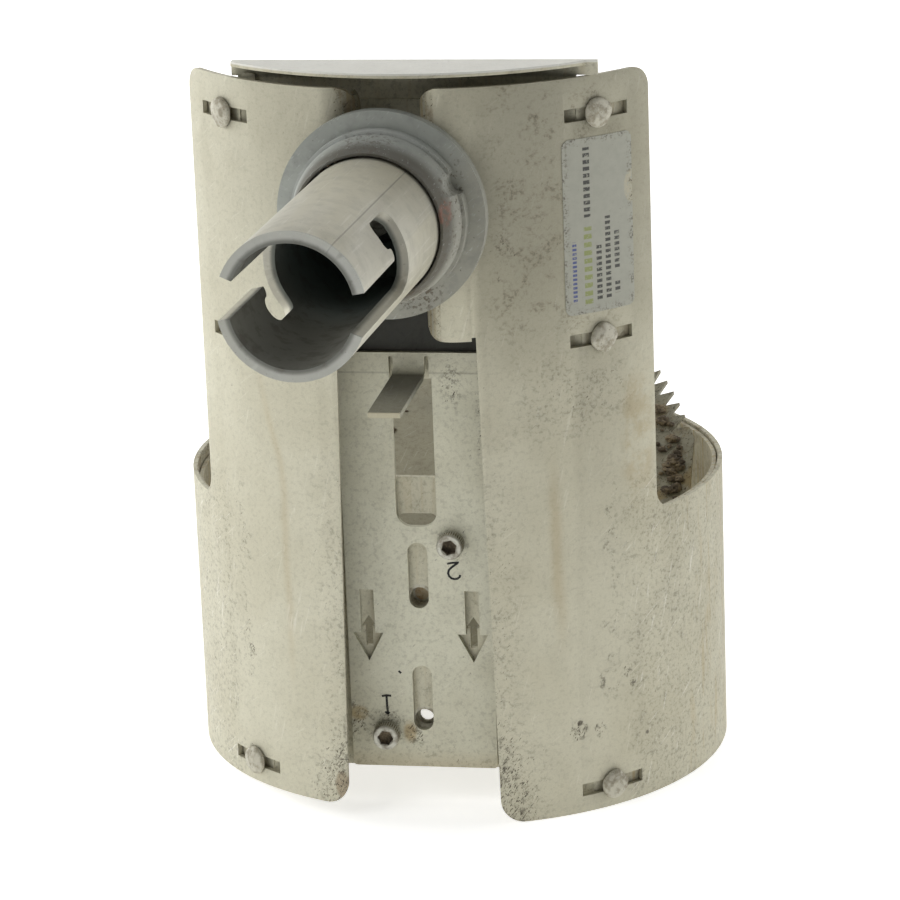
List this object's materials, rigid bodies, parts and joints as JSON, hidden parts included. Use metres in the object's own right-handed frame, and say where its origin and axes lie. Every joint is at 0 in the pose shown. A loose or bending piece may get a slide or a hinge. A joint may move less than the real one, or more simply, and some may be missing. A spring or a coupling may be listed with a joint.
{
  "type": "drain pipe rodent barrier",
  "caption": "One-way rodent barrier for a drain pipe: two sliding shells on a framed ring, a toothed flap, a slide plate and a bayonet key socket with a cam.",
  "frame": {"origin": "on the pipe axis, in the plane of the foot that goes into the pipe first", "axes": "+Z along the pipe axis away from the pipe, -Y towards the key socket and the gap in the shells, +X to the right seen from the socket"},
  "size_m": [0.144, 0.2364, 0.2],
  "materials": {
    "shell_steel": "dull rolled stainless sheet with dirt and water marks",
    "frame_steel": "dull stainless sheet, soiled inside",
    "plate_steel": "dull stainless sheet",
    "flap_steel": "stainless sheet with rust-coloured soil",
    "tube_steel": "turned stainless, worn",
    "disc_zinc": "blue-grey cast metal, dull",
    "rivet_steel": "stainless rivet",
    "screw_steel": "stainless screw",
    "stud_brown": "rusty stud end",
    "bush_bronze": "plain bearing bronze",
    "label_film": "worn pale film"
  },
  "bodies": {
    "frame": {"base_plate": "frame_steel", "liner": "frame_steel", "left_liner_strap": "frame_steel", "right_liner_strap": "frame_steel", "strap_rivets": "rivet_steel", "guide_rivets": "rivet_steel", "cam_bush": "bush_bronze", "guide_eyelets": "rivet_steel", "guide_stud": "stud_brown", "bearing_block": "frame_steel", "left_hinge_lug": "frame_steel", "right_hinge_lug": "frame_steel", "lug_rivets": "rivet_steel", "hinge_pin": "rivet_steel", "flap_stops": "rivet_steel"},
    "left_side": {"left_shell": "shell_steel"},
    "right_side": {"right_shell": "shell_steel", "label": "label_film"},
    "slide": {"slide_plate": "plate_steel", "screw_1": "screw_steel", "screw_2": "screw_steel", "clamp_nuts": "screw_steel"},
    "flap": {"flap": "flap_steel", "flap_hinge_leaf": "flap_steel", "flap_rivets": "rivet_steel"},
    "key_socket": {"socket_tube": "tube_steel", "socket_floor": "tube_steel", "socket_disc": "disc_zinc", "cam": "disc_zinc", "cam_bolt": "screw_steel", "lock_washer": "screw_steel", "lock_nut": "screw_steel"}
  },
  "joints": [
    {"name": "key_turn", "type": "hinge", "parent": "frame", "child": "key_socket", "pos_m": [-0.0037, -0.0729, 0.165], "axis": [-0.0558, -0.9984, 0], "range_deg": [-45, 45]},
    {"name": "left_shell_slide", "type": "hinge", "parent": "frame", "child": "left_side", "pos_m": [0, 0, 0.1], "axis": [0, 0, 1], "range_deg": [-3.01, 3.01]},
    {"name": "right_shell_slide", "type": "hinge", "parent": "frame", "child": "right_side", "pos_m": [0, 0, 0.1], "axis": [0, 0, 1], "range_deg": [-3.01, 3.01]},
    {"name": "plate_slide", "type": "slide", "parent": "frame", "child": "slide", "axis": [0, 0, -1], "range_m": [0, 0.01]},
    {"name": "flap_swing", "type": "hinge", "parent": "frame", "child": "flap", "pos_m": [0, -0.0465, 0.017], "axis": [1, 0, 0], "range_deg": [0, 36]}
  ],
  "couplings": [
    {"joint": "left_shell_slide", "follows": "key_turn", "ratio": -0.066667},
    {"joint": "right_shell_slide", "follows": "key_turn", "ratio": 0.066667}
  ]
}
